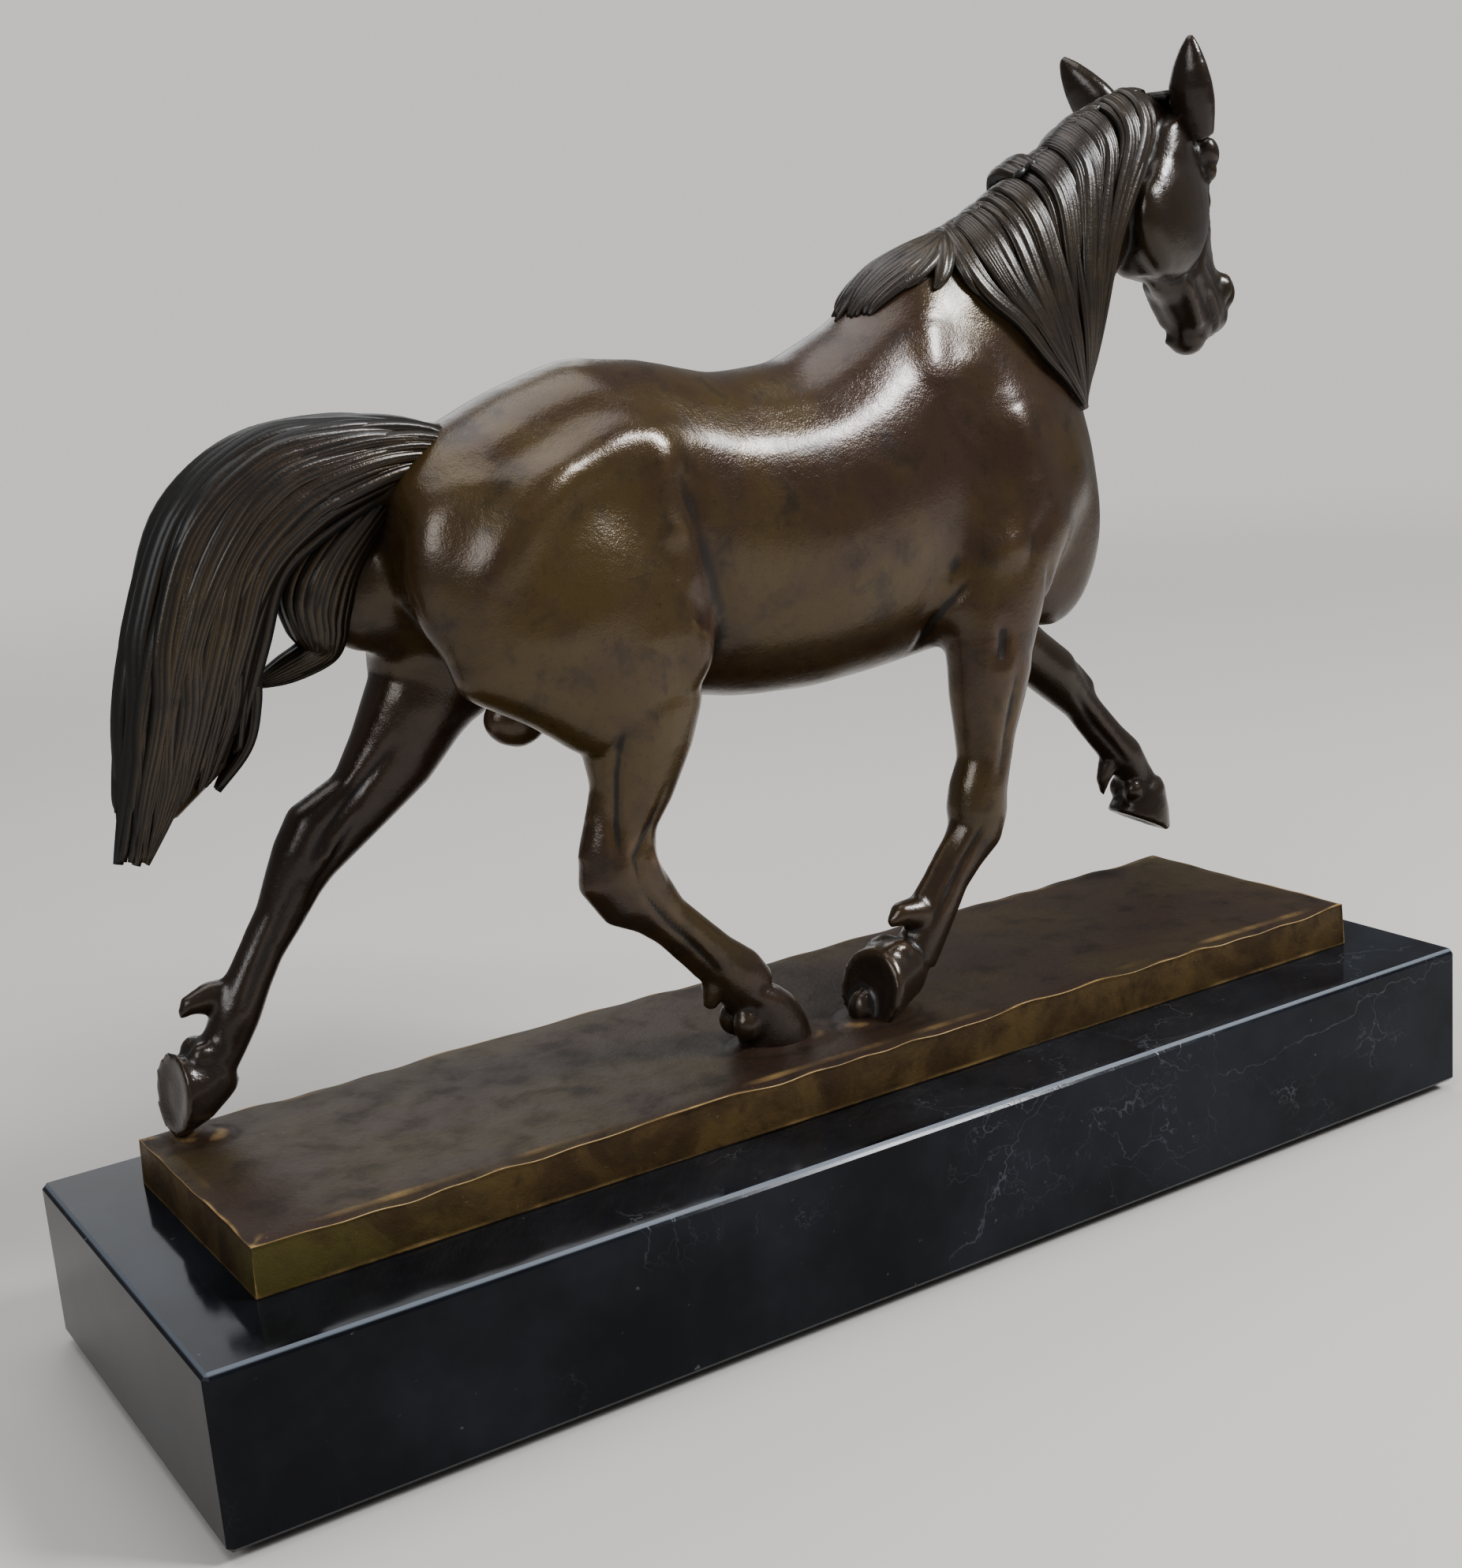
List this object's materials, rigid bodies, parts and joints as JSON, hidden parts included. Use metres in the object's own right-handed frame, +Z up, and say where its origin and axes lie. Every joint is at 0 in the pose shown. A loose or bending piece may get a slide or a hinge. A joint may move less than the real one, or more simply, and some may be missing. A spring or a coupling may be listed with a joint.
{
  "type": "horse statue",
  "caption": "Trotting bronze horse with turned head and flying tail, pinned to a bronze plinth that studs hold on a polished black marble base.",
  "frame": {"origin": "middle of the base at the underside of the felt feet", "axes": "+X towards the horse's head along the base, +Y to the horse's left, +Z up"},
  "size_m": [0.33, 0.11, 0.2681],
  "materials": {
    "bronze": "dark brown waxed bronze patina",
    "bronze_hair": "dark brown chased bronze, darker in the grooves",
    "plinth_bronze": "satin brown bronze with worn golden edges",
    "marble": "polished black marble with fine pale veins",
    "steel": "plain zinc plated steel",
    "felt": "dark green felt"
  },
  "bodies": {
    "root": {"torso": "bronze", "neck": "bronze", "head": "bronze", "ear_left": "bronze", "ear_right": "bronze", "leg_fore_left": "bronze", "leg_fore_right": "bronze", "leg_hind_left": "bronze", "leg_hind_right": "bronze", "mane": "bronze_hair", "forelock": "bronze_hair", "tail": "bronze_hair", "bronze_plinth": "plinth_bronze", "marble_base": "marble", "stud_rear": "steel", "stud_front": "steel", "washer_rear": "steel", "washer_front": "steel", "nut_rear": "steel", "nut_front": "steel", "hoof_pin_hind_right": "steel", "hoof_pin_hind_left": "steel", "hoof_pin_fore_right": "steel", "felt_foot_rear_right": "felt", "felt_foot_rear_left": "felt", "felt_foot_front_right": "felt", "felt_foot_front_left": "felt"}
  },
  "joints": []
}
